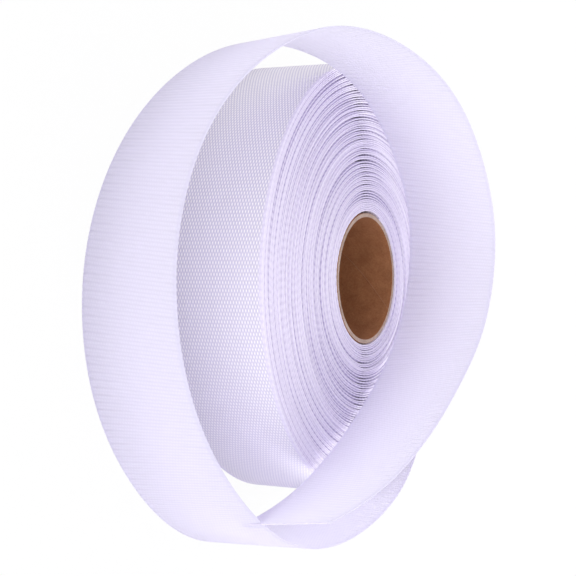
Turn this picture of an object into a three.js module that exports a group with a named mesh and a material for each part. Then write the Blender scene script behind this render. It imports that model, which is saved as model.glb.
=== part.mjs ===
// A roll of sewing boning: a stiff woven tape wound flat on a paper core.
// The roll lies on its end face. The free end of the tape leaves the roll at its back, goes once
// round it in a wide loop that climbs from the table on to the roll, and ends in a square cut.
// The tape itself is half a millimetre thick. The loose end's solid is twice that, so that it
// stays a sturdy sheet. Millimetres, +Z up.

import * as THREE from 'three';

// ---- driving dimensions ----
const TAPE_WIDTH = 25;
const TURN = 0.5; // what one turn of tape adds to the roll's radius
const SHEET = 1; // thickness of the loose end's solid
const GAP = 0.3; // air left between pieces that touch
const TAIL_GAP = 0.4; // air between the roll and the stretch of loose end that lies on it
const ROLL_RADIUS = 50.25; // under the outermost turn
const CORE_RADIUS = 15.4; // outside of the paper tube
const CORE_WALL = 1;

// ---- the loose end ----
// Guide rows that the tape's lower edge runs smoothly along, about the loop's own centre.
//   angle: degrees round the loop, anticlockwise from +X, seen from above
//   reach: distance from the loop's centre
//   rise:  height of the lower edge over the table
//   lean:  degrees that the tape's upper edge leans outwards
// The first row only aims the cut end; the cut is at the second.
const LOOP_CENTRE = new THREE.Vector2(0, -33);
const LOOP_ROWS = [
  { angle: -46, reach: 82.5, rise: 8.5, lean: -5 },
  { angle: -16, reach: 55, rise: 24, lean: -13 },
  { angle: 14, reach: 41.7, rise: 27, lean: -12 },
  { angle: 44, reach: 43, rise: 25.5, lean: -12 },
  { angle: 74, reach: 52.5, rise: 26.5, lean: -12 },
  { angle: 104, reach: 56.5, rise: 28, lean: -14 },
  { angle: 134, reach: 51.1, rise: 28, lean: -10 },
  { angle: 164, reach: 50.7, rise: 27.5, lean: -7 },
  { angle: 194, reach: 54.5, rise: 16.5, lean: 6 },
  { angle: 224, reach: 51, rise: 7, lean: 15 },
  { angle: 254, reach: 48.5, rise: 2, lean: 13 },
  { angle: 284, reach: 48.5, rise: 0, lean: 7 },
  { angle: 314, reach: 51.7, rise: 0, lean: 1 },
  { angle: 344, reach: 59.1, rise: 3, lean: -3 },
  { angle: 372, reach: 64.1, rise: 2, lean: -1 },
  { angle: 396, reach: 67, rise: 6, lean: 0 },
];
// Past the last row the tape lies round the back of the roll, degrees about the roll's axis.
const TAIL_START = 34;
const TAIL_STEP = 26;
const TAIL_ROWS = 4; // the tape ends at the third, and the fourth only aims it
const TAIL_END = TAIL_START + 2 * TAIL_STEP;
const TAIL_RADIUS = ROLL_RADIUS + TAIL_GAP + SHEET / 2;
const TAIL_RISE = 0.3;

// ---- fineness ----
const OUTLINE_POINTS = 144;
const CORE_SEGMENTS = 64;
const SECTIONS_PER_ROW = 6;

const radians = THREE.MathUtils.degToRad;

const woven = new THREE.MeshStandardMaterial({ color: 0xe2ddf2, roughness: 0.8, metalness: 0 });
const looseWoven = new THREE.MeshStandardMaterial({ color: 0xe8e4f6, roughness: 0.8, metalness: 0 });
const paper = new THREE.MeshStandardMaterial({ color: 0x7a5138, roughness: 0.9, metalness: 0 });

// Place a point of the plan at an angle and distance from a centre.
function around(centre, degrees, distance) {
  const angle = radians(degrees);
  return new THREE.Vector2(centre.x + distance * Math.cos(angle), centre.y + distance * Math.sin(angle));
}

// The wound turns are one solid. Its outline is a spiral that draws in by one tape in a turn, so it
// has a step at the back, where the outermost turn runs on as the loose end.
function woundRoll() {
  const axis = new THREE.Vector2(0, 0);
  const clearance = THREE.MathUtils.radToDeg(GAP / ROLL_RADIUS);
  const first = TAIL_END + clearance;
  const outline = [];
  for (let i = 0; i <= OUTLINE_POINTS; i += 1) {
    const share = i / OUTLINE_POINTS;
    outline.push(around(axis, first + 360 * share, ROLL_RADIUS + TURN * (1 - share)));
  }
  const shape = new THREE.Shape(outline);
  const hole = new THREE.Path();
  hole.absarc(0, 0, CORE_RADIUS + GAP, 0, 2 * Math.PI, true);
  shape.holes.push(hole);
  const geometry = new THREE.ExtrudeGeometry(shape, {
    depth: TAPE_WIDTH,
    bevelEnabled: false,
    curveSegments: CORE_SEGMENTS,
  });
  return new THREE.Mesh(geometry, woven);
}

// The paper tube, turned about the roll's axis.
function core() {
  const height = TAPE_WIDTH;
  const inner = CORE_RADIUS - CORE_WALL;
  const profile = [
    new THREE.Vector2(inner, 0),
    new THREE.Vector2(CORE_RADIUS, 0),
    new THREE.Vector2(CORE_RADIUS, height),
    new THREE.Vector2(inner, height),
    new THREE.Vector2(inner, 0),
  ];
  const geometry = new THREE.LatheGeometry(profile, CORE_SEGMENTS);
  geometry.rotateX(Math.PI / 2);
  return new THREE.Mesh(geometry, paper);
}

// Guide points of the tape's lower edge, each with its lean. A smooth curve runs inside the guides
// of an arc, so those round the roll stand off by the share that brings it back to its radius.
function guidePoints() {
  const guides = LOOP_ROWS.map(({ angle, reach, rise, lean }) => {
    const plan = around(LOOP_CENTRE, angle, reach);
    return new THREE.Vector4(plan.x, plan.y, rise, lean);
  });
  const standOff = 3 / (2 + Math.cos(radians(TAIL_STEP)));
  for (let i = 0; i < TAIL_ROWS; i += 1) {
    const plan = around(new THREE.Vector2(0, 0), TAIL_START + TAIL_STEP * i, TAIL_RADIUS * standOff);
    guides.push(new THREE.Vector4(plan.x, plan.y, TAIL_RISE, 0));
  }
  return guides;
}

// Blend four neighbouring guides with the weights of a cubic B-spline or of its slope.
function blend(guides, row, weights) {
  const sum = new THREE.Vector4(0, 0, 0, 0);
  weights.forEach((weight, k) => sum.addScaledVector(guides[row - 1 + k], weight));
  return sum;
}

// One cross-section of the tape: its four corners, inner before outer, lower before upper.
function tapeSection(guides, row, t) {
  const place = blend(guides, row, [
    (1 - t) ** 3 / 6,
    (3 * t ** 3 - 6 * t ** 2 + 4) / 6,
    (-3 * t ** 3 + 3 * t ** 2 + 3 * t + 1) / 6,
    t ** 3 / 6,
  ]);
  const slope = blend(guides, row, [
    -((1 - t) ** 2) / 2,
    (3 * t ** 2 - 4 * t) / 2,
    (-3 * t ** 2 + 2 * t + 1) / 2,
    t ** 2 / 2,
  ]);
  const along = new THREE.Vector3(slope.x, slope.y, slope.z).normalize();
  const outward = new THREE.Vector3().crossVectors(along, new THREE.Vector3(0, 0, 1)).normalize();
  const upward = new THREE.Vector3().crossVectors(outward, along);
  const lean = radians(place.w);
  const acrossTape = upward.clone().multiplyScalar(Math.cos(lean)).addScaledVector(outward, Math.sin(lean));
  const faceNormal = outward.clone().multiplyScalar(Math.cos(lean)).addScaledVector(upward, -Math.sin(lean));
  const lower = new THREE.Vector3(place.x, place.y, place.z);
  const corner = (height, side) => lower.clone()
    .addScaledVector(acrossTape, height)
    .addScaledVector(faceNormal, side);
  return [
    corner(0, -SHEET / 2),
    corner(0, SHEET / 2),
    corner(TAPE_WIDTH, SHEET / 2),
    corner(TAPE_WIDTH, -SHEET / 2),
  ];
}

// Join equal rings of corners into one closed body.
function loft(sections) {
  const corners = sections[0].length;
  const positions = sections.flat().flatMap((corner) => corner.toArray());
  const faces = [];
  const quad = (a, b, c, d) => faces.push(a, b, c, a, c, d);
  for (let i = 0; i + 1 < sections.length; i += 1) {
    for (let k = 0; k < corners; k += 1) {
      const here = i * corners;
      const next = (k + 1) % corners;
      quad(here + k, here + corners + k, here + corners + next, here + next);
    }
  }
  const last = (sections.length - 1) * corners;
  quad(0, 1, 2, 3);
  quad(last + 3, last + 2, last + 1, last);
  const geometry = new THREE.BufferGeometry();
  geometry.setAttribute('position', new THREE.Float32BufferAttribute(positions, 3));
  geometry.setIndex(faces);
  geometry.computeVertexNormals();
  return geometry;
}

// The loose end of the tape, from its cut end to where it lies on the roll.
function looseEnd() {
  const guides = guidePoints();
  const lastRow = guides.length - 2;
  const sections = [];
  for (let row = 1; row < lastRow; row += 1) {
    for (let i = 0; i < SECTIONS_PER_ROW; i += 1) {
      sections.push(tapeSection(guides, row, i / SECTIONS_PER_ROW));
    }
  }
  sections.push(tapeSection(guides, lastRow - 1, 1));
  return new THREE.Mesh(loft(sections), looseWoven);
}

const part = new THREE.Group();
const pieces = { core: core(), wound_roll: woundRoll(), loose_end: looseEnd() };
for (const [name, mesh] of Object.entries(pieces)) {
  mesh.name = name;
  part.add(mesh);
}

// The origin is under the middle of the whole part, on the table.
const box = new THREE.Box3().setFromObject(part, true);
const middle = box.getCenter(new THREE.Vector3());
part.position.set(-middle.x, -middle.y, 0);

export default part;
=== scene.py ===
# %% [markdown]
# # A roll of sewing boning
#
# The whole object is one long woven tape, 25 mm wide and less than half a millimetre thick. Some
# fourteen metres of it are wound flat on a thin paper tube, and the last 45 centimetres stand beside
# the roll in a wide loop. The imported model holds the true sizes: the tube, the winding as one solid
# and the loop as a sheet. Everything here is made in that same frame, in metres.

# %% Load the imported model
import math

import bpy
import numpy as np
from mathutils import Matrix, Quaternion, Vector


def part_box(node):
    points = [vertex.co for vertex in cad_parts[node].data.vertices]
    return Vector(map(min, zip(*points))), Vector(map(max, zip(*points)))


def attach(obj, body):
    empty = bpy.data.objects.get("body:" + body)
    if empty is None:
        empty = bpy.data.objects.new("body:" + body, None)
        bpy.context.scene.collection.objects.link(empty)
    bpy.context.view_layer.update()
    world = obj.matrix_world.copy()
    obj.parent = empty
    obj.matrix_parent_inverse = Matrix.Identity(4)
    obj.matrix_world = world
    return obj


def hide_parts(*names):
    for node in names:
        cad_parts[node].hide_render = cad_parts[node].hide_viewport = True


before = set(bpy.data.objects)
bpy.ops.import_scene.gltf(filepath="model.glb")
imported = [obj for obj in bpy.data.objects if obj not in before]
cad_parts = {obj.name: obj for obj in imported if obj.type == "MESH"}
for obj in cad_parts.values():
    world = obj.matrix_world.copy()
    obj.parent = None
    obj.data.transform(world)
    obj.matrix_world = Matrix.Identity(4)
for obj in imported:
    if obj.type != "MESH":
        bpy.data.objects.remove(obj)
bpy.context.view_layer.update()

scene = bpy.context.scene
print("the packed nodes are", sorted(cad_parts))

# %% [markdown]
# ## Shared sizes
#
# A woven tape has a rhythm. Each pass of the crosswise yarn makes one rib, and at both edges the
# yarn turns round and comes back, which leaves a small bead every second rib. These few pitches
# drive the shape of the edges and the pattern of the surface, so they are named once.

# %% Sizes of the tape and of the roll
MM = 0.001
TAPE_WIDTH = 25 * MM
TAPE_THICK = 0.40 * MM      # without the ribs
TURN = 0.5 * MM             # what one turn adds to the radius: the tape, its ribs and some air
RIB_PITCH = 0.835 * MM
BEAD_PITCH = 2 * RIB_PITCH
YARNS_ACROSS = 70           # lengthwise yarns, side by side
YARN_PITCH = TAPE_WIDTH / YARNS_ACROSS

core_low, core_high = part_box("core")
AXIS = (core_low + core_high) / 2
AXIS.z = 0
CORE_RADIUS = (core_high.x - core_low.x) / 2
print(f"the roll's axis is at x {AXIS.x / MM:.2f}, y {AXIS.y / MM:.2f} mm")
print(f"the tube's radius is {CORE_RADIUS / MM:.1f} mm")

# %% [markdown]
# ## Camera
#
# The camera looks down at the roll from the front at a shallow angle, and is rolled by a quarter
# turn, so that the roll, which lies flat on the table, seems to stand on its rim in the picture.

# %% Place the camera
CAMERA_ELEVATION = math.radians(25.75)
CAMERA_DISTANCE = 363.6 * MM
CAMERA_ROLL = math.radians(90.92)
LENS = 96.125
AIM_OFFSET = Vector((2.28, -38.127, -0.3)) * MM     # from the middle of the roll's top face

top_of_roll = AXIS + Vector((0, 0, TAPE_WIDTH))
backwards = Vector((0, -math.cos(CAMERA_ELEVATION), math.sin(CAMERA_ELEVATION)))
aim = top_of_roll + AIM_OFFSET

camera = bpy.data.objects.new("camera", bpy.data.cameras.new("camera"))
scene.collection.objects.link(camera)
camera.location = top_of_roll + backwards * CAMERA_DISTANCE
camera.rotation_mode = "QUATERNION"
towards = (aim - camera.location).to_track_quat("-Z", "Y")
camera.rotation_quaternion = towards @ Quaternion((0, 0, 1), CAMERA_ROLL)
camera.data.lens = LENS
camera.data.clip_start = 0.01
scene.camera = camera
print("camera at", [round(value / MM, 1) for value in camera.location], "mm")

# %% [markdown]
# ## Small helpers for node trees
#
# Both shapes and finishes are built as node trees. One helper adds a node, sets its options and
# fills its sockets, where a socket of another node is linked and a plain value is written in.

# %% Node helpers
def fill(tree, made, values):
    """Link or set the sockets of a node, given by name or by place."""
    for key, value in values.items():
        socket = made.inputs[key]
        if isinstance(value, bpy.types.NodeSocket):
            tree.links.new(value, socket)
        else:
            socket.default_value = value


def add(tree, kind, values=None, **options):
    """Add a node and return its first output."""
    made = tree.nodes.new(kind)
    for option, value in options.items():
        setattr(made, option, value)
    fill(tree, made, values or {})
    return made.outputs[0] if made.outputs else made


def maths(tree, operation, first, second=0.0):
    """One Math node."""
    return add(tree, "ShaderNodeMath", {0: first, 1: second}, operation=operation)


def new_tree(name, inputs):
    """A Geometry Nodes tree with named inputs. Returns the tree and its input sockets by name."""
    tree = bpy.data.node_groups.new(name, "GeometryNodeTree")
    tree.interface.new_socket("Geometry", in_out="OUTPUT", socket_type="NodeSocketGeometry")
    tree.interface.new_socket("Geometry", in_out="INPUT", socket_type="NodeSocketGeometry")
    for label, kind in inputs:
        tree.interface.new_socket(label, in_out="INPUT", socket_type="NodeSocket" + kind)
    sockets = tree.nodes.new("NodeGroupInput").outputs
    return tree, {socket.name: socket for socket in sockets if socket.name}


def close_tree(tree, geometry, material):
    """End a tree in Realize Instances and Set Material."""
    real = add(tree, "GeometryNodeRealizeInstances", {0: geometry})
    done = add(tree, "GeometryNodeSetMaterial", {"Geometry": real, "Material": material})
    add(tree, "NodeGroupOutput", {0: done})


def run_tree(name, tree, mesh, inputs):
    """Run a tree on a mesh and keep what it makes as a plain mesh object."""
    helper = bpy.data.objects.new(name + "_path", mesh)
    scene.collection.objects.link(helper)
    modifier = helper.modifiers.new("shape", "NODES")
    modifier.node_group = tree
    for item in tree.interface.items_tree:
        if item.in_out == "INPUT" and item.name in inputs:
            modifier[item.identifier] = inputs[item.name]
    graph = bpy.context.evaluated_depsgraph_get()
    shaped = helper.evaluated_get(graph)
    made = bpy.data.meshes.new_from_object(shaped, preserve_all_data_layers=True, depsgraph=graph)
    bpy.data.objects.remove(helper)
    piece = bpy.data.objects.new(name, made)
    made.name = name
    scene.collection.objects.link(piece)
    print(f"{name}: {sum(len(face.vertices) - 2 for face in made.polygons)} triangles")
    return piece


# %% [markdown]
# ## The woven finish
#
# The tape is a plain weave: each lengthwise yarn passes over one rib and under the next, and its
# neighbour does the opposite, so the surface is a fine chequer of raised stitches on ribs. Two sine
# waves make that pattern, one counted along the tape and one across it. The shapes carry both
# distances as attributes, so that the pattern follows the tape round every bend, which a pattern in
# space could not do. The waves drive a bump, and the hollows are painted darker than the stitches:
# that is painted shade in the hollows of the weave.
#
# Wound up tight, the tape is backed by more tape and looks solid, and its stitches stand out.
# Standing free, it glows: light comes through it and fills its hollows. Both looks are painted into
# the colours here. The wound look's dark hollows are painted shade, and the loose look's pale, even
# hollows are painted light from behind. An attribute called loose slides from one to the other, so
# the tape changes as it leaves the roll and not at a seam. The light that really comes through is the
# Translucent shader's share. It starts where the tape is half loose, so no wound turn lets light
# through.

# %% Colours of the tape, wound and loose, with painted shade and painted light in the hollows
# the hollows' colours are painted shade on wound turns and painted light on the loose look
HOLLOW_SHADE = ((0.47, 0.43, 0.64, 1), (0.83, 0.81, 0.90, 1))
STITCH = ((1.0, 0.965, 1.0, 1), (0.91, 0.89, 0.97, 1))
SELVEDGE = ((0.90, 0.845, 1.0, 1), (0.85, 0.83, 0.93, 1))
RIB_SHARE = (0.3, 0.75)     # how far the ribs outweigh the single stitches
HALF_LOOSE = 0.5            # where light starts to come through
LET_THROUGH = 0.65          # share of the light that a fully loose stretch lets through
WEAVE_DEPTH = 0.05 * MM
# painted shade for the crevice between two turns
CREVICE_SHADE = (0.48, 0.41, 0.66, 1)     # deep between two slack turns
FLANK = (0.9, 0.5)          # that darkness starts and is full here, where 1 is the very edge
BEADS_CLOSE = 0.55          # share of that darkness that is left where two beads touch
print("the tape's wound and loose looks are set")

# %% [markdown]
# On the end of the roll only the edges of the turns show. Where two turns lie slack, the crevice
# between them is dark, broken into dots by the beads, which touch. A gap of a tenth of a millimetre
# is too fine for light alone to draw, so the flanks of the edge are painted darker as well: that is
# painted shade in the crevice. An attribute called slack, which the winding sets from the air beside
# each turn, says by how much, and even a tight turn keeps some of it.

# %% Material of the woven tape
def chequer(tree, along, across, rib_share):
    """Height of the weave, up to 1: stitches that take turns, on ribs."""
    rib_wave = maths(tree, "SINE", maths(tree, "MULTIPLY", along, math.pi / RIB_PITCH))
    yarn_wave = maths(tree, "SINE", maths(tree, "MULTIPLY", across, math.pi / YARN_PITCH))
    stitches = maths(tree, "MULTIPLY", rib_wave, yarn_wave)
    stitches = maths(tree, "MULTIPLY", stitches, maths(tree, "SUBTRACT", 1.0, rib_share))
    ribs = maths(tree, "MULTIPLY", maths(tree, "ABSOLUTE", rib_wave), rib_share)
    return maths(tree, "ADD", stitches, ribs)


def ramp(tree, value, start, end, low=0.0, high=1.0):
    """Slide from the low to the high value while another value goes from start to end."""
    return add(tree, "ShaderNodeMapRange", {
        "Value": value, "From Min": start, "From Max": end, "To Min": low, "To Max": high,
    })


def blend(tree, factor, first, second):
    """Mix two colours. A Mix node keeps a socket for each kind of data, and the colours have these."""
    mix = add(tree, "ShaderNodeMix", {"Factor": factor, 6: first, 7: second}, data_type="RGBA")
    return mix.node.outputs[2]


def woven_material():
    """White woven tape with a lavender tint."""
    material = bpy.data.materials.new("woven_tape")
    material.use_nodes = True
    tree = material.node_tree
    shader = tree.nodes["Principled BSDF"]

    def carried(name):
        return add(tree, "ShaderNodeAttribute", attribute_name=name).node.outputs["Fac"]

    loose, along, across = carried("loose"), carried("along"), carried("across")
    rib_share = ramp(tree, loose, 0.0, 1.0, *RIB_SHARE)
    height = chequer(tree, along, across, rib_share)
    lowest = maths(tree, "SUBTRACT", rib_share, 1.0)
    level = ramp(tree, height, lowest, 1.0)
    # painted shade in the hollows of the chequer, mostly filled with painted light where the tape is loose
    weave_colour = blend(tree, level, blend(tree, loose, *HOLLOW_SHADE), blend(tree, loose, *STITCH))

    # painted shade on the flanks of each turn's edge, as deep as the turn is slack, broken into dots by the
    # beads
    flank = ramp(tree, carried("edge"), *FLANK)
    bead_wave = maths(tree, "COSINE", maths(tree, "MULTIPLY", along, math.pi / BEAD_PITCH))
    open_share = ramp(tree, maths(tree, "ABSOLUTE", bead_wave), 0.0, 1.0, 1.0, BEADS_CLOSE)
    shade = maths(tree, "MULTIPLY", maths(tree, "MULTIPLY", flank, carried("slack")), open_share)
    edge_colour = blend(tree, shade, blend(tree, loose, *SELVEDGE), CREVICE_SHADE)
    from_edge = maths(tree, "MINIMUM", across, maths(tree, "SUBTRACT", TAPE_WIDTH, across))
    inside = ramp(tree, from_edge, YARN_PITCH, 3 * YARN_PITCH)      # the selvedge is a few yarns wide
    colour = blend(tree, inside, edge_colour, weave_colour)

    bump = add(tree, "ShaderNodeBump", {"Distance": WEAVE_DEPTH, "Height": height})
    fill(tree, shader, {"Base Color": colour, "Normal": bump, "Roughness": 0.75})
    shader.inputs["Specular IOR Level"].default_value = 0.3
    shader.inputs["Sheen Weight"].default_value = 0.08
    through = ramp(tree, loose, HALF_LOOSE, 1.0, 0.0, LET_THROUGH)
    behind = add(tree, "ShaderNodeBsdfTranslucent", {"Color": colour, "Normal": bump})
    both = add(tree, "ShaderNodeMixShader", {0: through, 1: shader.outputs[0], 2: behind})
    fill(tree, tree.nodes["Material Output"], {"Surface": both})
    return material


woven = woven_material()
print("the woven finish has", len(woven.node_tree.nodes), "nodes")

# %% [markdown]
# ## One tree for every stretch of tape
#
# The wound turns and the loose loop are the same tape, so one tree makes both. It turns a chain of
# points into a curve, gives it even steps, and sweeps the tape's section along it. The section is a
# circle pulled apart into a flat strip with round edges. Then ribs and edge beads push the surface
# out along its own normals. A list of ready-made points could be swept in plain code too, but here
# every size is a named input of the tree.

# %% The strip tree, part one: the path
strip, size = new_tree("woven strip", [
    ("Width", "Float"), ("Thickness", "Float"), ("Section points", "Int"), ("Step", "Float"),
    ("Starts at", "Float"), ("Rib pitch", "Float"), ("Rib height", "Float"), ("Bead pitch", "Float"),
    ("Bead swell", "Float"), ("Bead start", "Float"), ("Material", "Material"),
])

path = add(strip, "GeometryNodeMeshToCurve", {"Mesh": size["Geometry"]})
path = add(strip, "GeometryNodeResampleCurve", {"Curve": path, "Length": size["Step"]}, mode="LENGTH")
path = add(strip, "GeometryNodeSetCurveNormal", {"Curve": path}, mode="Z_UP")
lean = add(strip, "GeometryNodeInputNamedAttribute", {"Name": "lean"}, data_type="FLOAT")
path = add(strip, "GeometryNodeSetCurveTilt", {"Curve": path, "Tilt": lean})
steps_taken = add(strip, "GeometryNodeSplineParameter").node.outputs["Index"]
walked = maths(strip, "MULTIPLY", steps_taken, size["Step"])
slip = add(strip, "GeometryNodeInputNamedAttribute", {"Name": "slip"}, data_type="FLOAT")
walked = maths(strip, "ADD", maths(strip, "ADD", walked, slip), size["Starts at"])
path = add(strip, "GeometryNodeStoreNamedAttribute", {
    "Geometry": path, "Name": "along", "Value": walked,
}, data_type="FLOAT", domain="POINT")
print("the strip tree has", len(strip.nodes), "nodes so far")

# %% The strip tree, part two: the section
TWELFTH = math.pi / 6       # turns the circle so that one point is the very edge

radius = maths(strip, "MULTIPLY", size["Thickness"], 0.5)
section = add(strip, "GeometryNodeCurvePrimitiveCircle", {
    "Resolution": size["Section points"], "Radius": radius,
})
section = add(strip, "GeometryNodeTransform", {"Geometry": section, "Rotation": (0, 0, TWELFTH)})
place = add(strip, "ShaderNodeSeparateXYZ", {0: add(strip, "GeometryNodeInputPosition")}).node
share = maths(strip, "DIVIDE", place.outputs["Y"], radius)      # 1 or -1 at the very edge, 0 between
side = maths(strip, "SIGN", maths(strip, "ROUND", maths(strip, "MULTIPLY", share, 2.0)))
half_width = maths(strip, "MULTIPLY", size["Width"], 0.5)
pulled = maths(strip, "MULTIPLY", side, maths(strip, "SUBTRACT", half_width, radius))
across = maths(strip, "SUBTRACT", half_width, maths(strip, "ADD", place.outputs["Y"], pulled))
lowered = add(strip, "ShaderNodeCombineXYZ", {
    "X": place.outputs["X"], "Y": maths(strip, "MULTIPLY", across, -1.0),
})
section = add(strip, "GeometryNodeStoreNamedAttribute", {
    "Geometry": section, "Name": "edge", "Value": maths(strip, "ABSOLUTE", share),
}, data_type="FLOAT", domain="POINT")
section = add(strip, "GeometryNodeStoreNamedAttribute", {
    "Geometry": section, "Name": "across", "Value": across,
}, data_type="FLOAT", domain="POINT")
section = add(strip, "GeometryNodeSetPosition", {"Geometry": section, "Position": lowered})
print("the strip tree has", len(strip.nodes), "nodes so far")

# %% The strip tree, part three: sweep, ribs and beads
def wave(operation, pitch):
    """A sine or cosine of the distance along the tape, with a full turn every two pitches."""
    along = add(strip, "GeometryNodeInputNamedAttribute", {"Name": "along"}, data_type="FLOAT")
    return maths(strip, operation, maths(strip, "DIVIDE", maths(strip, "MULTIPLY", along, math.pi), pitch))


RIB_MEAN = 2 / math.pi      # keeps the ribs centred on the tape's own surface

swept = add(strip, "GeometryNodeCurveToMesh", {"Curve": path, "Profile Curve": section, "Fill Caps": True})
rib = maths(strip, "SUBTRACT", maths(strip, "ABSOLUTE", wave("SINE", size["Rib pitch"])), RIB_MEAN)
rib = maths(strip, "MULTIPLY", rib, size["Rib height"])
edge = add(strip, "GeometryNodeInputNamedAttribute", {"Name": "edge"}, data_type="FLOAT")
near_edge = add(strip, "ShaderNodeMapRange", {"Value": edge, "From Min": size["Bead start"], "From Max": 1.0})
bead = maths(strip, "MULTIPLY", wave("COSINE", maths(strip, "MULTIPLY", size["Bead pitch"], 0.5)), near_edge)
bead = maths(strip, "MULTIPLY", bead, size["Bead swell"])
push = add(strip, "ShaderNodeVectorMath", {
    0: add(strip, "GeometryNodeInputNormal"), "Scale": maths(strip, "ADD", rib, bead),
}, operation="SCALE")
swept = add(strip, "GeometryNodeSetPosition", {"Geometry": swept, "Offset": push})
swept = add(strip, "GeometryNodeSetShadeSmooth", {"Geometry": swept})
close_tree(strip, swept, size["Material"])
print("the strip tree is whole, with", len(strip.nodes), "nodes")

# %% Run the tree on a chain of points
FULL_FACE = {
    # the inputs of a stretch whose whole face shows
    "Section points": 12, "Step": RIB_PITCH / 4, "Rib height": 0.03 * MM, "Bead swell": 0.05 * MM,
    "Bead start": 0.5,
}
EDGE_ONLY = {
    # and of one that shows only its edges, where the beads take in more of the section
    "Section points": 6, "Step": BEAD_PITCH / 3, "Rib height": 0.0, "Bead swell": 0.03 * MM,
    "Bead start": 0.0,
}


def tape(name, places, leans, slips, slacks, loose, starts_at, fineness):
    """One stretch of tape, whose lower edge runs along the places.

    At each place the tape leans by an angle and its pattern slips along it by a length. There too its
    finish reads two shares from 0 to 1. Slack sets how dark the painted shade in the crevices beside
    its edges is. Loose slides its colours from the wound look, with painted shade in the hollows, to
    the loose look, with painted light there, and lets light through.
    """
    chain = bpy.data.meshes.new(name + "_path")
    links = [(i, i + 1) for i in range(len(places) - 1)]
    chain.from_pydata([tuple(place) for place in places], links, [])
    for label, values in (("lean", leans), ("slip", slips), ("slack", slacks), ("loose", loose)):
        carried = chain.attributes.new(label, "FLOAT", "POINT")
        carried.data.foreach_set("value", np.asarray(values, np.float32))
    inputs = {
        "Width": TAPE_WIDTH, "Thickness": TAPE_THICK, "Starts at": starts_at,
        "Rib pitch": RIB_PITCH, "Bead pitch": BEAD_PITCH, "Material": woven,
    }
    return run_tree(name, strip, chain, inputs | fineness)


def length_of(places):
    """Distance along a chain of points."""
    return float(np.linalg.norm(np.diff(places, axis=0), axis=1).sum())


# %% [markdown]
# ## The route of the loose end
#
# The loose tape leaves the roll at the back, stands on the table in front of it, climbs on to the
# roll behind the tube, and comes forward again to its cut end. A cloth solver would let it fall, but
# this tape is stiff and stands on its edge, so its route is given: a few rows say how far out,
# how high and how much it leans, and a smooth curve runs along them. They are the rows that the
# packed sheet was made from.

# %% Rows of the route
LOOP_CENTRE = AXIS + Vector((0, -33, 0)) * MM
LOOP_ROWS = [
    # angle, reach, rise, lean: degrees and millimetres, from the cut end to the back of the roll
    (-46, 82.5, 8.5, -5),
    (-16, 55, 24, -13),
    (14, 41.7, 27, -12),
    (44, 43, 25.5, -12),
    (74, 52.5, 26.5, -12),
    (104, 56.5, 28, -14),
    (134, 51.1, 28, -10),
    (164, 50.7, 27.5, -7),
    (194, 54.5, 16.5, 6),
    (224, 51, 7, 15),
    (254, 48.5, 2, 13),
    (284, 48.5, 0, 7),
    (314, 51.7, 0, 1),
    (344, 59.1, 3, -3),
    (372, 64.1, 2, -1),
    (396, 67, 6, 0),
]
TAIL_START = 34             # degrees round the roll where the tape comes to lie on it
TAIL_STEP = 26
TAIL_ROWS = 4               # the loose end stops at the third, and the fourth only aims it
TAIL_RADIUS = 50.85 * MM    # middle of the tape where it lies on the roll
TAIL_RISE = 0.15 * MM
ROLL_START = TAIL_START + 2 * TAIL_STEP
print("the loose end runs into the roll at", ROLL_START, "degrees")

# %% A smooth curve along the rows
def around(centre, degrees, distance, rise, lean):
    """A guide: a place given by angle and distance from a centre, with its height and lean."""
    angle = math.radians(degrees)
    return (centre.x + distance * math.cos(angle), centre.y + distance * math.sin(angle), rise, lean)


def smooth_route(guides, steps=40):
    """Points on a uniform cubic B-spline along the guides."""
    guides = np.array(guides)
    t = np.linspace(0, 1, steps, endpoint=False)
    weights = np.stack([
        (1 - t) ** 3, 3 * t**3 - 6 * t**2 + 4, -3 * t**3 + 3 * t**2 + 3 * t + 1, t**3,
    ], axis=1) / 6
    spans = [weights @ guides[row - 1:row + 3] for row in range(1, len(guides) - 2)]
    last = np.array([1, 4, 1]) @ guides[-3:] / 6
    return np.vstack(spans + [last])


stand_off = 3 / (2 + math.cos(math.radians(TAIL_STEP)))     # the curve runs just inside its guides
guides = [
    around(LOOP_CENTRE, angle, reach * MM, rise * MM, math.radians(lean))
    for angle, reach, rise, lean in LOOP_ROWS
]
guides += [
    around(AXIS, TAIL_START + TAIL_STEP * i, TAIL_RADIUS * stand_off, TAIL_RISE, 0)
    for i in range(TAIL_ROWS)
]
route = smooth_route(guides)
LOOSE_LENGTH = length_of(route[:, :3])
print(f"the loose end is {LOOSE_LENGTH / MM:.0f} mm long")

# %% The loose end
# the least painted crevice shade that a wound turn keeps
LEAST_CREVICE_SHADE = 0.35                  # of every wound turn
SETTLES_OVER = 80 * MM              # about the length over which the tape comes to look wound

steps_to_roll = np.arange(len(route))[::-1] / (len(route) - 1)
loose = np.clip(LOOSE_LENGTH * steps_to_roll / SETTLES_OVER, 0, 1)
no_slip = np.zeros(len(route))
loose_end = tape("loose_end_tape", route[:, :3], route[:, 3], no_slip, LEAST_CREVICE_SHADE * (1 - loose), loose,
                 0.0, FULL_FACE)

# %% [markdown]
# ## The winding
#
# Seen from the end, the roll is one spiral of about seventy turns. A perfect spiral looks like a
# machined disc, and a real roll does not: it is tight in places and slack in others, so thin dark
# gaps open between some turns, and the edges stand a little higher or lower from turn to turn. The
# spiral below is walked turn by turn. Each turn keeps its distance from the one outside it, and
# the air between them comes from a short table of gaps and from slow random waves. The first and
# the last turns lie tight.

# %% Turns and the air between them
SAMPLES = 720                       # places per turn
OUTER_RADIUS = 50.5 * MM            # middle of the tape in the outermost turn, once it has settled
AIR_OVER_TUBE = 0.1 * MM
INNER_RADIUS = CORE_RADIUS + AIR_OVER_TUBE + TAPE_THICK / 2
INNER_END = 156                     # degrees round the roll where the tape begins on the tube

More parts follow.
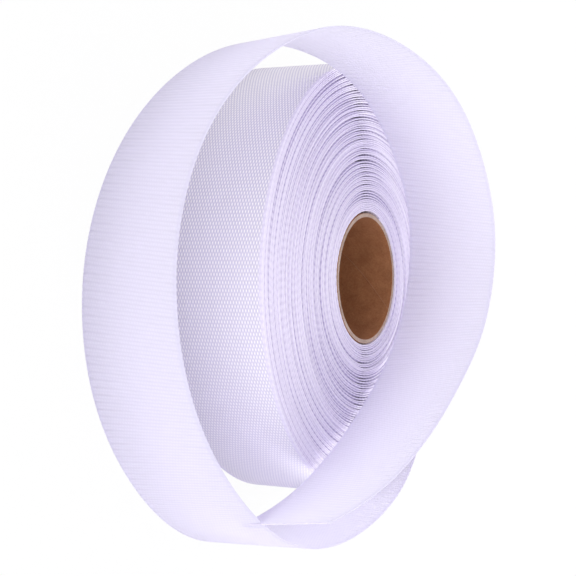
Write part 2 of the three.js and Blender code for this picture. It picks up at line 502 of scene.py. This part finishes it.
whole_turns = math.floor((OUTER_RADIUS - INNER_RADIUS) / TURN)
TURNS = whole_turns + ((INNER_END - ROLL_START) % 360) / 360
wound = np.arange(0, TURNS, 1 / SAMPLES)        # turns walked, from the outside in
theta = np.radians(ROLL_START + 360 * wound)
rng = np.random.default_rng(7)

RANDOM_AIR = 0.6 * MM               # depth of the random waves of air
TIGHT = 0.3                         # share of that depth below which the turns stay closed
FADES_OVER = 1.5                    # turns over which the air comes and goes at the ends
GAPS = [
    # radius, opening in millimetres, angle and spread in degrees
    (47.0, 0.15, 270, 50), (46.3, 0.16, 195, 50), (45.3, 0.26, 262, 95), (45.4, 0.14, 185, 40),
    (43.7, 0.20, 205, 50), (42.0, 0.18, 212, 50), (42.0, 0.18, 315, 50), (40.4, 0.14, 190, 45),
    (39.2, 0.20, 200, 50), (39.0, 0.24, 325, 45), (37.4, 0.16, 190, 45), (36.5, 0.18, 325, 50),
    (36.0, 0.18, 212, 50), (34.7, 0.22, 190, 60), (34.6, 0.20, 350, 40), (33.5, 0.22, 335, 50),
    (32.9, 0.28, 250, 80), (30.3, 0.14, 185, 40), (28.9, 0.24, 230, 70), (28.9, 0.24, 350, 40),
    (27.9, 0.22, 185, 60), (27.5, 0.30, 335, 50), (25.4, 0.14, 190, 40), (24.3, 0.22, 343, 40),
    (24.2, 0.20, 190, 50), (23.2, 0.22, 270, 120), (21.0, 0.16, 190, 40), (20.1, 0.16, 350, 40),
    (19.2, 0.16, 190, 40), (17.9, 0.16, 350, 40),
]
print(f"{TURNS:.1f} turns, {len(wound)} places")

# %% Radius of every place on the spiral
def slow_noise(knots_per_turn, depth):
    """A smooth random wave along the tape, between minus and plus the depth."""
    knots = np.arange(0, TURNS + 2, 1 / knots_per_turn)
    values = rng.uniform(-depth, depth, len(knots))
    smooth = np.convolve(np.interp(wound, knots, values), np.hanning(SAMPLES // knots_per_turn), "same")
    return smooth / np.hanning(SAMPLES // knots_per_turn).sum()


def degrees_from(angle):
    """How far round the roll every place is from an angle, between minus and plus 180 degrees."""
    return (np.degrees(theta) - angle + 180) % 360 - 180


air = RANDOM_AIR * np.clip(slow_noise(3, 1.0) - TIGHT, 0, None)
for radius_mm, opening, angle, spread in GAPS:
    turn = (OUTER_RADIUS - radius_mm * MM) / TURN
    part_turn = ((angle - ROLL_START) % 360) / 360
    centre = round(turn - part_turn) + part_turn
    air += opening * MM * np.exp(-(((wound - centre) * 360 / spread) ** 2))
air *= np.clip((wound - FADES_OVER) / FADES_OVER, 0, 1)
air *= np.clip((TURNS - 1 - wound) / FADES_OVER, 0, 1)

padded_air = np.zeros(math.ceil(TURNS) * SAMPLES)
padded_air[:len(air)] = air
by_turn = padded_air.reshape(-1, SAMPLES)       # a row for each turn, a column for each angle
piled = np.cumsum(by_turn, axis=0)
total = np.tile(piled[-1], len(piled))[:len(air)]       # all the air at this place's angle
piled = piled.ravel()[:len(air)]                        # the air outside this place
radii = OUTER_RADIUS - (OUTER_RADIUS - INNER_RADIUS - total) * wound / TURNS - piled

RUN_IN = 0.17                       # turns over which the tape settles from the loose end's tail
settle = np.clip(1 - wound / RUN_IN, 0, 1)
radii += (TAIL_RADIUS - OUTER_RADIUS) * settle**2 * (3 - 2 * settle)
apart = (radii[:-SAMPLES] - radii[SAMPLES:]) / MM
print(f"turns lie {apart.min():.2f} to {apart.max():.2f} mm apart")

# %% Height of every turn's edge
CROWN = 0.3 * MM                    # the middle turns stand proud of the first and last ones
RIPPLE = 0.03 * MM
RIPPLES = [(1, 2.3), (2, 5.1), (3, 8.7), (1, 13.4)]     # waves in a turn, and from rim to tube
UNEVEN = [(3, 0.4 * MM), (14, 0.08 * MM)]       # random waves: knots in a turn, and depth
SUNKEN = [
    # radius, width and drop in millimetres, angle and spread in degrees
    (48.4, 1.4, 0.7, 205, 40),
]
STEP_DOWN = [1.2, 0.8, 0.4]         # drop of the three turns inside a gap, against the gap's width
LOWEST = 0.06 * MM                  # keeps the beads of the lower edge off the table

inward = (OUTER_RADIUS - radii) / (OUTER_RADIUS - INNER_RADIUS)
heights = TAIL_RISE + CROWN * np.sin(np.pi * np.clip(inward, 0, 1))
for waves_round, waves_in in RIPPLES:
    phase = rng.uniform(0, 2 * np.pi)
    heights += RIPPLE * np.cos(waves_round * theta + 2 * np.pi * waves_in * inward + phase)
for knots_per_turn, depth in UNEVEN:
    heights += slow_noise(knots_per_turn, depth) * np.clip(wound, 0, 1)
for turns_in, share in enumerate(STEP_DOWN):
    above = np.vstack([np.zeros((turns_in, SAMPLES)), by_turn])[:len(by_turn)]
    heights -= share * above.ravel()[:len(heights)]
for radius_mm, width, drop, angle, spread in SUNKEN:
    away = ((radii / MM - radius_mm) / width) ** 2 + (degrees_from(angle) / spread) ** 2
    heights -= drop * MM * np.exp(-away)
heights = np.maximum(heights, LOWEST)
print(f"the lower edges lie {heights.min() / MM:.2f} to {heights.max() / MM:.2f} mm over the table")

# %% The inner end dips on to the tube
DIP = 2.5 * MM                      # length of the dip
to_the_end = (TURNS - wound) * 2 * np.pi * INNER_RADIUS
radii -= AIR_OVER_TUBE * np.clip(1 - to_the_end / DIP, 0, 1)

SLIDE = 0.3 * MM                    # the middle turns sit a little towards the back
spiral = np.stack([
    AXIS.x + radii * np.cos(theta),
    AXIS.y + radii * np.sin(theta) + SLIDE * np.sin(np.pi * np.clip(inward, 0, 1)),
    heights,
], axis=1)
print(f"the winding holds {length_of(spiral):.2f} m of tape")

# %% [markdown]
# ## From spiral to turns of tape
#
# The outermost turn shows its whole face, so it gets the same fine steps and ribs as the loose end.
# The turns inside it show only their edges. They take a simple section and three steps to a bead,
# and are cut into two pieces so that neither grows too heavy. Towards one side, where the loop
# stands close and shades it, the outermost turn is given up to half of the loose look. Its weave is
# painted fainter and its hollows paler there, which is painted light.

# %% How the turns look along the tape
FULL_FACE_TURNS = 1.05              # turns that show their whole face
SLIP = 6 * MM                       # how far the pattern of a turn may slip against its neighbour's
WIDE_GAP = 0.2 * MM                 # air beside a turn at which its crevice is as dark as it gets
# painted light on the outermost turn is strongest here, on the side that the loop shades
LIT_PLACE = 342                    # degrees round the roll where the outermost turn looks softest
LIT_SPREAD = 52

slips = slow_noise(2, SLIP) * np.clip(wound - 1.1, 0, 1)    # none where the full face shows
# how dark the painted crevice shade beside each turn is, from the air there
slacks = LEAST_CREVICE_SHADE + (1 - LEAST_CREVICE_SHADE) * np.clip(air / WIDE_GAP, 0, 1)
# painted light: the outermost turn takes up to half of the loose look's paler colours, fading away from that
# place
painted_light = np.exp(-((degrees_from(LIT_PLACE) / LIT_SPREAD) ** 2))
lit_look = HALF_LOOSE * painted_light * (wound < FULL_FACE_TURNS)
print(f"a pattern slips by up to {np.abs(slips).max() / MM:.1f} mm")

# %% The turns of tape
SPLIT_AT = 26                       # turns in the first two pieces
WOUND_PIECES = [
    # name, first and last turn, and how finely it is made
    ("outer_turn", 0, FULL_FACE_TURNS, FULL_FACE),
    ("outer_turns", FULL_FACE_TURNS, SPLIT_AT, EDGE_ONLY),
    ("inner_turns", SPLIT_AT, TURNS, EDGE_ONLY),
]
turns = []
walked_length = LOOSE_LENGTH
for name, first, last, fineness in WOUND_PIECES:
    part = slice(round(first * SAMPLES), round(last * SAMPLES) + 1)
    stretch = spiral[part]
    starts_at = round(walked_length / BEAD_PITCH) * BEAD_PITCH      # so that the beads run on
    turns.append(tape(name, stretch, np.zeros(len(stretch)), slips[part], slacks[part], lit_look[part],
                      starts_at, fineness))
    walked_length += length_of(stretch)
print(f"{walked_length:.2f} m of tape in all")

# %% [markdown]
# ## Threads at the cut
#
# The scissors cut the tape square, and the ends of the lengthwise yarns stand out of the cut by a
# few tenths of a millimetre, no two alike. One small rod is placed at each yarn.

# %% The thread tree
ASTRAY = 0.35               # how far a thread strays sideways, against its length

threads, size = new_tree("cut threads", [
    ("From", "Vector"), ("To", "Vector"), ("Direction", "Vector"), ("Count", "Int"),
    ("Thickness", "Float"), ("Shortest", "Float"), ("Longest", "Float"), ("Seed", "Int"),
    ("Material", "Material"),
])
row = add(threads, "GeometryNodeMeshLine", {
    # with end points, the socket called Offset takes the place of the last point
    "Count": size["Count"], "Start Location": size["From"], "Offset": size["To"],
}, mode="END_POINTS")
rod = add(threads, "GeometryNodeMeshCylinder", {
    "Vertices": 5, "Radius": maths(threads, "MULTIPLY", size["Thickness"], 0.5), "Depth": 1.0,
})
rod = add(threads, "GeometryNodeTransform", {"Geometry": rod, "Translation": (0, 0, 0.5)})
wander = add(threads, "FunctionNodeRandomValue", {
    "Min": (-ASTRAY, -ASTRAY, -ASTRAY), "Max": (ASTRAY, ASTRAY, ASTRAY), "Seed": size["Seed"],
}, data_type="FLOAT_VECTOR")
heading = add(threads, "ShaderNodeVectorMath", {0: size["Direction"], 1: wander}, operation="ADD")
turned_to = add(threads, "FunctionNodeAlignRotationToVector", {"Vector": heading}, axis="Z")
reach = add(threads, "FunctionNodeRandomValue", {
    "Min": size["Shortest"], "Max": size["Longest"], "Seed": maths(threads, "ADD", size["Seed"], 1.0),
}, data_type="FLOAT").node.outputs[1]
stretch_to = add(threads, "ShaderNodeCombineXYZ", {"X": 1.0, "Y": 1.0, "Z": reach})
placed = add(threads, "GeometryNodeInstanceOnPoints", {
    "Points": row, "Instance": rod, "Rotation": turned_to, "Scale": stretch_to,
})
close_tree(threads, placed, size["Material"])
print("the thread tree has", len(threads.nodes), "nodes")

# %% The threads
def cut_corner(places, leans):
    """The lower corner of the cut, which way the tape runs from it, and which way is up the tape."""
    run = Vector(places[1] - places[0]).normalized()
    outward = run.cross(Vector((0, 0, 1))).normalized()
    upward = outward.cross(run)
    return Vector(places[0]), run, upward * math.cos(leans[0]) + outward * math.sin(leans[0])


INSET = 0.05 * MM           # how deep in the tape the threads begin

corner, run, up_tape = cut_corner(route[:, :3], route[:, 3])
first_root = corner + run * INSET
cut_threads = run_tree("cut_threads", threads, bpy.data.meshes.new("cut_threads_path"), {
    "From": first_root + up_tape * YARN_PITCH / 2,
    "To": first_root + up_tape * (TAPE_WIDTH - YARN_PITCH / 2),
    "Direction": -run, "Count": YARNS_ACROSS, "Thickness": 0.16 * MM,
    "Shortest": 0.12 * MM, "Longest": 0.45 * MM, "Seed": 3, "Material": woven,
})

# %% [markdown]
# ## The paper tube
#
# The tube is wound from strips of brown paper, so a seam climbs its wall like a screw thread, and
# its cut rim is paler and a little rough. The wall is a grid of points bent round the axis. The
# columns of the grid are slanted to follow the seam, so that the seam can be a true small ledge on
# the inner wall, and its first column of faces can wear the paler paper that shows at the seam.

# %% Shape of the tube
TUBE_COLUMNS = 360
TUBE_WALL = 1.0 * MM
SEAM_START = math.radians(168)      # where the seam begins, at the foot
SEAM_TURN = math.radians(-110)      # how far it turns round the tube from end to end
LEDGE = 0.06 * MM
RIM_SOFT = 0.12 * MM                # how far the rim's corners are rounded off
RIM_ROUGH = 0.03 * MM
RIM_BAND = 0.05 * MM                # points this near the top are rough


def tube_profile():
    """Radius and height of the wall's points, from the outer foot over the rim to the inner foot."""
    inner, outer, top = CORE_RADIUS - TUBE_WALL, CORE_RADIUS, core_high.z
    corner_drop, flat_part = 0.3 * RIM_SOFT, 0.4 * TUBE_WALL
    levels = np.linspace(0, top - RIM_SOFT, 13)
    rim = [
        (outer - corner_drop, top - corner_drop), (outer - RIM_SOFT, top),
        (outer - flat_part, top + 0.03 * MM), (inner + flat_part, top - 0.02 * MM),
        (inner + RIM_SOFT, top), (inner + corner_drop, top - corner_drop),
    ]
    return [(outer, level) for level in levels] + rim + [(inner, level) for level in levels[::-1]]


profile = tube_profile()
print("the tube's profile has", len(profile), "points")

# %% The tube
def paper_tube():
    """The tube as one closed mesh."""
    rim_noise = np.random.default_rng(11).uniform(-RIM_ROUGH, RIM_ROUGH, (TUBE_COLUMNS, len(profile)))
    middle = CORE_RADIUS - TUBE_WALL / 2
    points = []
    for column in range(TUBE_COLUMNS):
        share = column / TUBE_COLUMNS
        for k, (reach, height) in enumerate(profile):
            angle = 2 * math.pi * share + SEAM_START + SEAM_TURN * height / core_high.z
            if reach < middle:
                reach += LEDGE * share
            if height > core_high.z - RIM_BAND:
                height += rim_noise[column, k]
            points.append((AXIS.x + reach * math.cos(angle), AXIS.y + reach * math.sin(angle), height))
    count = len(profile)
    faces = []
    for column in range(TUBE_COLUMNS):
        here, there = column * count, (column + 1) % TUBE_COLUMNS * count
        for k in range(count):
            following = (k + 1) % count
            faces.append((here + k, there + k, there + following, here + following))
    mesh = bpy.data.meshes.new("paper_tube")
    mesh.from_pydata(points, [], faces)
    mesh.shade_smooth()
    tube = bpy.data.objects.new("paper_tube", mesh)
    scene.collection.objects.link(tube)
    print("paper_tube:", 2 * len(faces), "triangles")
    return tube


tube = paper_tube()

# %% Material of the brown paper
def paper_material(name, dark, light, grain):
    """Kraft paper: mottled, with short fibres."""
    material = bpy.data.materials.new(name)
    material.use_nodes = True
    tree = material.node_tree
    shader = tree.nodes["Principled BSDF"]
    spot = add(tree, "ShaderNodeTexCoord").node.outputs["Object"]
    clouds = add(tree, "ShaderNodeTexNoise", {
        "Vector": spot, "Scale": 260.0, "Detail": 6.0, "Roughness": 0.6,
    })
    fibres = add(tree, "ShaderNodeTexNoise", {"Vector": spot, "Scale": 2200.0, "Detail": 3.0})
    mixed = maths(tree, "ADD", maths(tree, "MULTIPLY", clouds, 0.6), maths(tree, "MULTIPLY", fibres, 0.4))
    colour = blend(tree, ramp(tree, mixed, 0.35, 0.65), dark, light)
    bump = add(tree, "ShaderNodeBump", {"Distance": grain, "Height": mixed})
    fill(tree, shader, {"Base Color": colour, "Normal": bump, "Roughness": 0.8})
    shader.inputs["Specular IOR Level"].default_value = 0.25
    return material


kraft = paper_material("kraft_paper", (0.275, 0.112, 0.047, 1), (0.41, 0.178, 0.08, 1), 0.08 * MM)
cut_paper = paper_material("cut_paper", (0.36, 0.25, 0.19, 1), (0.58, 0.45, 0.37, 1), 0.1 * MM)
seam_paper = paper_material("seam_paper", (0.32, 0.15, 0.08, 1), (0.46, 0.22, 0.12, 1), 0.08 * MM)
for finish in (kraft, cut_paper, seam_paper):
    tube.data.materials.append(finish)
RIM_FROM = core_high.z - 0.1 * MM
for number, face in enumerate(tube.data.polygons):
    on_rim = min(tube.data.vertices[i].co.z for i in face.vertices) > RIM_FROM
    on_seam = number < len(profile)     # the first column lies along the seam
    face.material_index = 1 if on_rim else 2 if on_seam else 0
print("the tube wears", len(tube.data.materials), "papers")

# %% [markdown]
# ## Table and light
#
# The table and the sky are plain white to the camera, to a gloss and through glass. Every other
# ray, such as one that cloth has scattered, meets the plain table and the real sky, so the roll
# keeps its soft shading and its shadow. The sky gives an even light. Five wide lamps stand round the
# roll, the strongest at its right and behind it, so that light also comes through the loose tape.

# %% The floor
def white_to_the_eye(tree, plain, bright, share):
    """Mix a shader with white light for rays that come straight from the camera, a gloss or glass.

    A ray that comes through cloth is a transmission ray as well, but a diffuse one.
    """
    rays = add(tree, "ShaderNodeLightPath").node.outputs
    seen = maths(tree, "MAXIMUM", rays["Is Camera Ray"], rays["Is Glossy Ray"])
    through_glass = maths(tree, "SUBTRACT", rays["Is Transmission Ray"], rays["Is Diffuse Ray"])
    seen = maths(tree, "MAXIMUM", seen, through_glass)
    return add(tree, "ShaderNodeMixShader", {0: maths(tree, "MULTIPLY", seen, share), 1: plain, 2: bright})


WHITE_SHARE = 0.95          # the rest keeps a trace of the roll's shadow in sight


def table_top():
    """A wide plain floor under the roll."""
    half = 1.5
    corners = [(-half, -half, 0), (half, -half, 0), (half, half, 0), (-half, half, 0)]
    mesh = bpy.data.meshes.new("table")
    mesh.from_pydata(corners, [], [(0, 1, 2, 3)])
    floor = bpy.data.objects.new("table", mesh)
    scene.collection.objects.link(floor)
    material = bpy.data.materials.new("white_table")
    material.use_nodes = True
    tree = material.node_tree
    tree.nodes.clear()
    plain = add(tree, "ShaderNodeBsdfDiffuse", {"Color": (0.9, 0.9, 0.9, 1)})
    bright = add(tree, "ShaderNodeEmission", {"Color": (1, 1, 1, 1), "Strength": 1.0})
    add(tree, "ShaderNodeOutputMaterial", {"Surface": white_to_the_eye(tree, plain, bright, WHITE_SHARE)})
    mesh.materials.append(material)
    print("the table is", 2 * half, "m wide")


table_top()

# %% The sky and the lamps
SKY_STRENGTH = 0.87
LAMP_SIZE = 0.6


def sky():
    """Even light from all round, white where it is looked at."""
    world = bpy.data.worlds.new("sky")
    scene.world = world
    world.use_nodes = True
    tree = world.node_tree
    tree.nodes.clear()
    light = add(tree, "ShaderNodeBackground", {"Color": (1, 1, 1, 1), "Strength": SKY_STRENGTH})
    white = add(tree, "ShaderNodeBackground", {"Color": (1, 1, 1, 1), "Strength": 1.0})
    add(tree, "ShaderNodeOutputWorld", {"Surface": white_to_the_eye(tree, light, white, 1.0)})


def soft_lamp(name, place, watts):
    """A square lamp that faces the roll."""
    lamp = bpy.data.objects.new(name, bpy.data.lights.new(name, "AREA"))
    scene.collection.objects.link(lamp)
    lamp.location = AXIS + Vector(place)
    lamp.rotation_euler = (-Vector(place)).to_track_quat("-Z", "Y").to_euler()
    lamp.data.size = LAMP_SIZE
    lamp.data.energy = watts


sky()
soft_lamp("front_lamp", (0, -0.81, 0.39), 0.9)
soft_lamp("right_lamp", (0.65, -0.55, 0.3), 2.1)
soft_lamp("side_lamp", (0.9, 0, 0.25), 2.8)
soft_lamp("left_lamp", (-0.9, 0, 0.25), 0.4)
soft_lamp("back_lamp", (0, 0.8, 0.4), 2.6)
scene.view_settings.view_transform = "Standard"
print("the lamps are", [lamp.name for lamp in bpy.data.lights])

# %% [markdown]
# ## Hand the pieces to the frame
#
# Nothing moves here, so every piece rides on the one body, and the solid of the model that it stands
# for is hidden.

# %% Bodies, and the solids that the pieces stand for
WOVEN_PIECES = {"loose_end": [loose_end, cut_threads], "wound_roll": turns}
for node, pieces in WOVEN_PIECES.items():
    for piece in pieces:
        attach(piece, "root")
        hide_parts(node)
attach(tube, "root")
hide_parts("core")
print("the pieces are", [piece.name for piece in [loose_end, cut_threads] + turns + [tube]])
